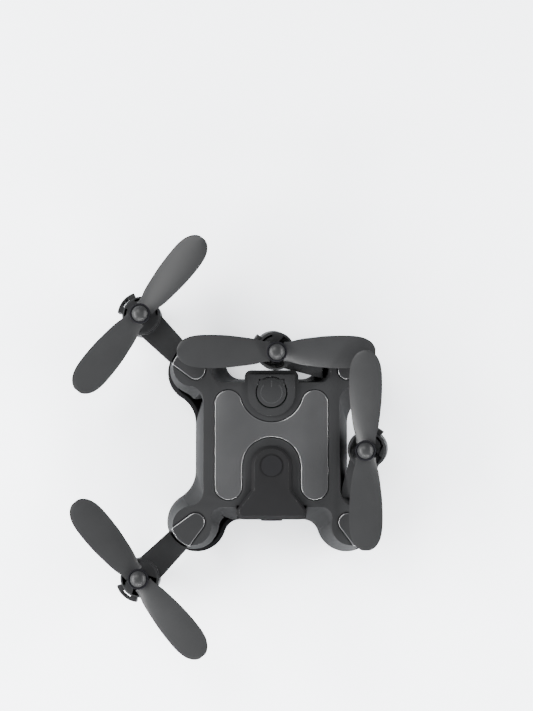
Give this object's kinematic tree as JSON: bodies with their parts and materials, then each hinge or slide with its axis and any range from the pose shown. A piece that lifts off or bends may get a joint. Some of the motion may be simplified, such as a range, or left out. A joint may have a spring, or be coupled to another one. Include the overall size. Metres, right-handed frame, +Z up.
{
  "type": "folding mini quadcopter",
  "caption": "Palm-size folding camera quadcopter with pinwheel arms on leaning hinges, coreless motors, two-blade propellers and a nose camera; left arms folded, right arms open.",
  "frame": {"origin": "centre of the flat belly, on the surface that the object rests on", "axes": "+Z up, -Y towards the camera nose, +X towards the object's own left"},
  "size_m": [0.0883, 0.1168, 0.0272],
  "materials": {
    "shell_plastic": "satin dark grey",
    "lower_plastic": "satin near black",
    "panel_plastic": "satin gloss grey",
    "nose_plastic": "matt charcoal",
    "lamp_plastic": "smoked, satin",
    "lens_plastic": "gloss black",
    "lens_glass": "polished",
    "arm_plastic": "satin dark grey",
    "motor_cap": "satin dark grey",
    "motor_can": "drawn can",
    "steel": "ground",
    "screw_steel": "blackened",
    "rotor_plastic": "satin dark grey",
    "foot_rubber": "soft matt",
    "circuit_board": "solder mask",
    "ribbon": "polyimide",
    "chip_plastic": "moulded",
    "cell_foil": "laminated foil",
    "port_metal": "plated"
  },
  "bodies": {
    "airframe": {"battery_cell": "cell_foil", "battery_cover": "lower_plastic", "bottom_shell": "lower_plastic", "camera_board": "circuit_board", "camera_ribbon": "ribbon", "charging_port": "port_metal", "crystal": "chip_plastic", "flight_chip": "chip_plastic", "gyro_chip": "chip_plastic", "hinge_cover_front_left": "shell_plastic", "hinge_cover_front_right": "shell_plastic", "hinge_cover_rear_left": "shell_plastic", "hinge_cover_rear_right": "shell_plastic", "hinge_pin_front_left": "steel", "hinge_pin_front_right": "steel", "hinge_pin_rear_left": "steel", "hinge_pin_rear_right": "steel", "lens_barrel": "lens_plastic", "lens_glass": "lens_glass", "main_board": "circuit_board", "nose_housing": "nose_plastic", "power_switch": "chip_plastic", "radio_chip": "chip_plastic", "shell_screw_1": "screw_steel", "shell_screw_2": "screw_steel", "shell_screw_3": "screw_steel", "shell_screw_4": "screw_steel", "status_lamp": "lamp_plastic", "top_panel": "panel_plastic", "top_shell": "shell_plastic"},
    "arm_rear_left": {"arm_rear_left": "arm_plastic", "arm_cover_rear_left": "arm_plastic", "foot_rear_left": "foot_rubber", "motor_rear_left": "motor_can", "motor_cap_rear_left": "motor_cap"},
    "rotor_rear_left": {"propeller_rear_left": "rotor_plastic", "motor_shaft_rear_left": "steel"},
    "arm_rear_right": {"arm_rear_right": "arm_plastic", "arm_cover_rear_right": "arm_plastic", "foot_rear_right": "foot_rubber", "motor_rear_right": "motor_can", "motor_cap_rear_right": "motor_cap"},
    "rotor_rear_right": {"propeller_rear_right": "rotor_plastic", "motor_shaft_rear_right": "steel"},
    "arm_front_right": {"arm_front_right": "arm_plastic", "arm_cover_front_right": "arm_plastic", "foot_front_right": "foot_rubber", "motor_front_right": "motor_can", "motor_cap_front_right": "motor_cap"},
    "rotor_front_right": {"propeller_front_right": "rotor_plastic", "motor_shaft_front_right": "steel"},
    "arm_front_left": {"arm_front_left": "arm_plastic", "arm_cover_front_left": "arm_plastic", "foot_front_left": "foot_rubber", "motor_front_left": "motor_can", "motor_cap_front_left": "motor_cap"},
    "rotor_front_left": {"propeller_front_left": "rotor_plastic", "motor_shaft_front_left": "steel"},
    "button": {"power_button": "shell_plastic"}
  },
  "joints": [
    {"name": "fold_rear_left", "type": "hinge", "parent": "airframe", "child": "arm_rear_left", "pos_m": [0.0211, 0.0211, 0.0096], "axis": [0.0687, -0.0413, 0.9968], "range_deg": [-118, 0]},
    {"name": "spin_rear_left", "type": "hinge", "parent": "arm_rear_left", "child": "rotor_rear_left", "pos_m": [0.00136, 0.02577, 0.02458], "axis": [0.0642, -0.1212, 0.9905], "continuous": true},
    {"name": "fold_rear_right", "type": "hinge", "parent": "airframe", "child": "arm_rear_right", "pos_m": [-0.0211, 0.0211, 0.0096], "axis": [0.0413, 0.0687, 0.9968], "range_deg": [0, 118]},
    {"name": "spin_rear_right", "type": "hinge", "parent": "arm_rear_right", "child": "rotor_rear_right", "pos_m": [-0.03637, 0.03637, 0.0226], "axis": [0, 0, 1], "continuous": true},
    {"name": "fold_front_right", "type": "hinge", "parent": "airframe", "child": "arm_front_right", "pos_m": [-0.0211, -0.0211, 0.0096], "axis": [-0.0687, 0.0413, 0.9968], "range_deg": [0, 118]},
    {"name": "spin_front_right", "type": "hinge", "parent": "arm_front_right", "child": "rotor_front_right", "pos_m": [-0.03637, -0.03637, 0.0226], "axis": [0, 0, 1], "continuous": true},
    {"name": "fold_front_left", "type": "hinge", "parent": "airframe", "child": "arm_front_left", "pos_m": [0.0211, -0.0211, 0.0096], "axis": [-0.0413, -0.0687, 0.9968], "range_deg": [-118, 0]},
    {"name": "spin_front_left", "type": "hinge", "parent": "arm_front_left", "child": "rotor_front_left", "pos_m": [0.02577, -0.00136, 0.02458], "axis": [-0.1212, -0.0642, 0.9905], "continuous": true},
    {"name": "press_power_button", "type": "hinge", "parent": "airframe", "child": "button", "pos_m": [0, 0.0186, 0.01805], "axis": [1, 0, 0], "range_deg": [0, 4], "stiffness_Nm_per_rad": 0.08}
  ]
}
